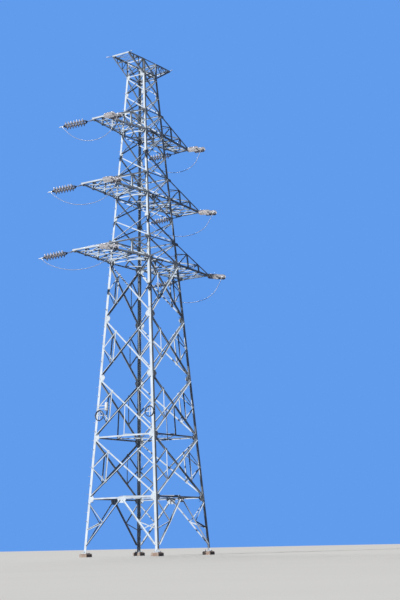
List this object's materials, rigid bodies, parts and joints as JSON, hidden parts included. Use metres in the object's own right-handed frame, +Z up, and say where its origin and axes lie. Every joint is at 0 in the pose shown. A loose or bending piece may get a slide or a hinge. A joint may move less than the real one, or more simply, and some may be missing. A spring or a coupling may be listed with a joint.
{
  "type": "lattice transmission pylon",
  "caption": "Four-legged lattice tension tower of galvanized angles with paired crossarms, double strain strings and hanging jumpers.",
  "frame": {"origin": "setting-out point on the ground, midway between the four footings", "axes": "+Z up, X along the crossarms, Y along the line, front is -Y"},
  "size_m": [10.4854, 4.8756, 26.05],
  "materials": {
    "concrete": "rough cast, weathered",
    "galvanized_leg": "hot-dip galvanized, matt",
    "galvanized_bracing": "hot-dip galvanized, matt",
    "galvanized_arm": "hot-dip galvanized, matt",
    "porcelain": "brown glaze",
    "forged_fittings": "galvanized forging",
    "aluminium_conductor": "stranded, dull",
    "cable_sheath": "weathered sheath on a galvanized rack",
    "box_paint": "light grey paint"
  },
  "bodies": {
    "root": {"footings": "concrete", "leg_lower_front_left": "galvanized_leg", "leg_upper_front_left": "galvanized_leg", "leg_lower_front_right": "galvanized_leg", "leg_upper_front_right": "galvanized_leg", "leg_lower_back_right": "galvanized_leg", "leg_upper_back_right": "galvanized_leg", "leg_lower_back_left": "galvanized_leg", "leg_upper_back_left": "galvanized_leg", "knee_bracing_front": "galvanized_bracing", "lower_bracing_front": "galvanized_bracing", "upper_bracing_front": "galvanized_bracing", "knee_bracing_right": "galvanized_bracing", "lower_bracing_right": "galvanized_bracing", "upper_bracing_right": "galvanized_bracing", "knee_bracing_back": "galvanized_bracing", "lower_bracing_back": "galvanized_bracing", "upper_bracing_back": "galvanized_bracing", "knee_bracing_left": "galvanized_bracing", "lower_bracing_left": "galvanized_bracing", "upper_bracing_left": "galvanized_bracing", "plan_bracing_lower": "galvanized_bracing", "plan_bracing_arms": "galvanized_bracing", "crossarm_lower_left": "galvanized_arm", "insulators_lower_left": "porcelain", "string_fittings_lower_left": "forged_fittings", "jumper_lower_left": "aluminium_conductor", "crossarm_lower_right": "galvanized_arm", "insulators_lower_right": "porcelain", "string_fittings_lower_right": "forged_fittings", "jumper_lower_right": "aluminium_conductor", "crossarm_middle_left": "galvanized_arm", "insulators_middle_left": "porcelain", "string_fittings_middle_left": "forged_fittings", "jumper_middle_left": "aluminium_conductor", "crossarm_middle_right": "galvanized_arm", "insulators_middle_right": "porcelain", "string_fittings_middle_right": "forged_fittings", "jumper_middle_right": "aluminium_conductor", "crossarm_upper_left": "galvanized_arm", "insulators_upper_left": "porcelain", "string_fittings_upper_left": "forged_fittings", "jumper_upper_left": "aluminium_conductor", "crossarm_upper_right": "galvanized_arm", "insulators_upper_right": "porcelain", "string_fittings_upper_right": "forged_fittings", "jumper_upper_right": "aluminium_conductor", "earth_arm_left": "galvanized_arm", "earth_arm_right": "galvanized_arm", "cable_coil_front": "cable_sheath", "cable_coil_back": "cable_sheath", "joint_box": "box_paint"}
  },
  "joints": []
}
